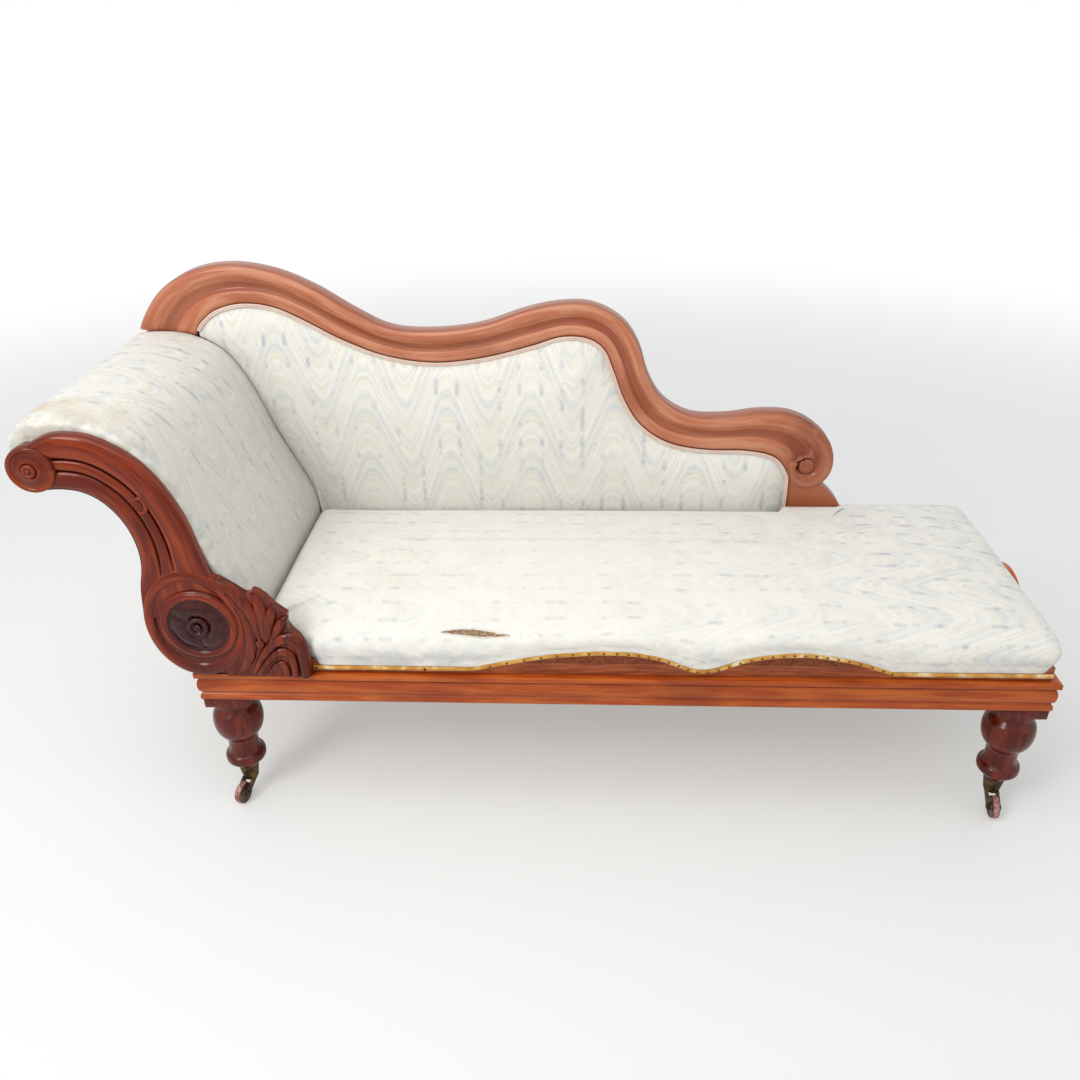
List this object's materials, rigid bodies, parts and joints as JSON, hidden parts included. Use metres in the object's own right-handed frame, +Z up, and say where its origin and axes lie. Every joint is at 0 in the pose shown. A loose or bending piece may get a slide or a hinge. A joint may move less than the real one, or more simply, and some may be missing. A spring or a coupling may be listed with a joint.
{
  "type": "fainting couch",
  "caption": "Victorian chaise longue with one padded scroll arm, a serpentine half back, a sprung seat and carved mahogany show-wood on turned legs with swivel castors.",
  "frame": {"origin": "on the floor under the middle of the couch's overall box", "axes": "+X along the couch from the scroll arm to the foot, +Y from the open front to the back, +Z up"},
  "size_m": [1.748, 0.555, 0.9253],
  "materials": {
    "frame_wood": "raw sawn beech, matt",
    "mahogany": "french polished mahogany, satin gloss",
    "dark_mahogany": "dark polished mahogany",
    "old_brass": "old tarnished brass",
    "brown_ceramic": "glazed brown ceramic, worn pink on the tread",
    "flame_stitch_fabric": "woven cream flame-stitch with pale grey-blue and pink",
    "gimp_braid": "pinkish cream braid",
    "ochre_tape": "faded ochre braid",
    "tack_iron": "dark tack heads",
    "spring_steel": "coppered wire",
    "jute": "woven jute",
    "horsehair": "curled horsehair"
  },
  "bodies": {
    "couch": {"front_rail": "frame_wood", "back_rail": "frame_wood", "head_rail": "frame_wood", "foot_rail": "frame_wood", "corner_blocks": "frame_wood", "spring_bars": "frame_wood", "front_moulding": "mahogany", "foot_moulding": "mahogany", "head_moulding": "mahogany", "foot_crest": "mahogany", "leg_front_left": "mahogany", "leg_front_right": "mahogany", "leg_back_left": "mahogany", "leg_back_right": "mahogany", "cup_front_left": "old_brass", "cup_front_right": "old_brass", "cup_back_left": "old_brass", "cup_back_right": "old_brass", "arm_facing": "mahogany", "arm_patera": "dark_mahogany", "arm_roundel": "mahogany", "arm_leaf": "mahogany", "arm_front_post": "frame_wood", "arm_back_post": "frame_wood", "arm_top_rail": "frame_wood", "arm_mid_rail": "frame_wood", "arm_low_rail": "frame_wood", "arm_webbing": "jute", "arm_stuffing": "horsehair", "arm_cover": "flame_stitch_fabric", "arm_outside": "flame_stitch_fabric", "crest_rail": "mahogany", "back_stays": "frame_wood", "back_bottom_rail": "frame_wood", "back_webbing": "jute", "back_stuffing": "horsehair", "back_cover": "flame_stitch_fabric", "back_outside": "flame_stitch_fabric", "back_gimp": "gimp_braid", "seat_webbing": "jute", "seat_springs": "spring_steel", "seat_hessian": "jute", "seat_stuffing": "horsehair", "seat_cover": "flame_stitch_fabric", "seat_tape": "ochre_tape", "seat_tacks": "tack_iron", "bottom_cloth": "jute"},
    "castor_front_left": {"horn_front_left": "old_brass", "axle_front_left": "old_brass"},
    "wheel_front_left": {"wheel_front_left": "brown_ceramic"},
    "castor_front_right": {"horn_front_right": "old_brass", "axle_front_right": "old_brass"},
    "wheel_front_right": {"wheel_front_right": "brown_ceramic"},
    "castor_back_left": {"horn_back_left": "old_brass", "axle_back_left": "old_brass"},
    "wheel_back_left": {"wheel_back_left": "brown_ceramic"},
    "castor_back_right": {"horn_back_right": "old_brass", "axle_back_right": "old_brass"},
    "wheel_back_right": {"wheel_back_right": "brown_ceramic"}
  },
  "joints": [
    {"name": "swivel_front_left", "type": "hinge", "parent": "couch", "child": "castor_front_left", "pos_m": [-0.6, -0.2115, 0.044], "axis": [0, 0, 1], "continuous": true},
    {"name": "roll_front_left", "type": "hinge", "parent": "castor_front_left", "child": "wheel_front_left", "pos_m": [-0.60882, -0.24226, 0.021], "axis": [0.9613, -0.2756, 0], "continuous": true},
    {"name": "swivel_front_right", "type": "hinge", "parent": "couch", "child": "castor_front_right", "pos_m": [0.828, -0.2115, 0.044], "axis": [0, 0, 1], "continuous": true},
    {"name": "roll_front_right", "type": "hinge", "parent": "castor_front_right", "child": "wheel_front_right", "pos_m": [0.82466, -0.24333, 0.021], "axis": [0.9945, -0.1045, 0], "continuous": true},
    {"name": "swivel_back_left", "type": "hinge", "parent": "couch", "child": "castor_back_left", "pos_m": [-0.6, 0.2315, 0.044], "axis": [0, 0, 1], "continuous": true},
    {"name": "roll_back_left", "type": "hinge", "parent": "castor_back_left", "child": "wheel_back_left", "pos_m": [-0.61502, 0.20325, 0.021], "axis": [0.8829, -0.4695, 0], "continuous": true},
    {"name": "swivel_back_right", "type": "hinge", "parent": "couch", "child": "castor_back_right", "pos_m": [0.828, 0.2315, 0.044], "axis": [0, 0, 1], "continuous": true},
    {"name": "roll_back_right", "type": "hinge", "parent": "castor_back_right", "child": "wheel_back_right", "pos_m": [0.83245, 0.19981, 0.021], "axis": [0.9903, 0.1392, 0], "continuous": true}
  ]
}
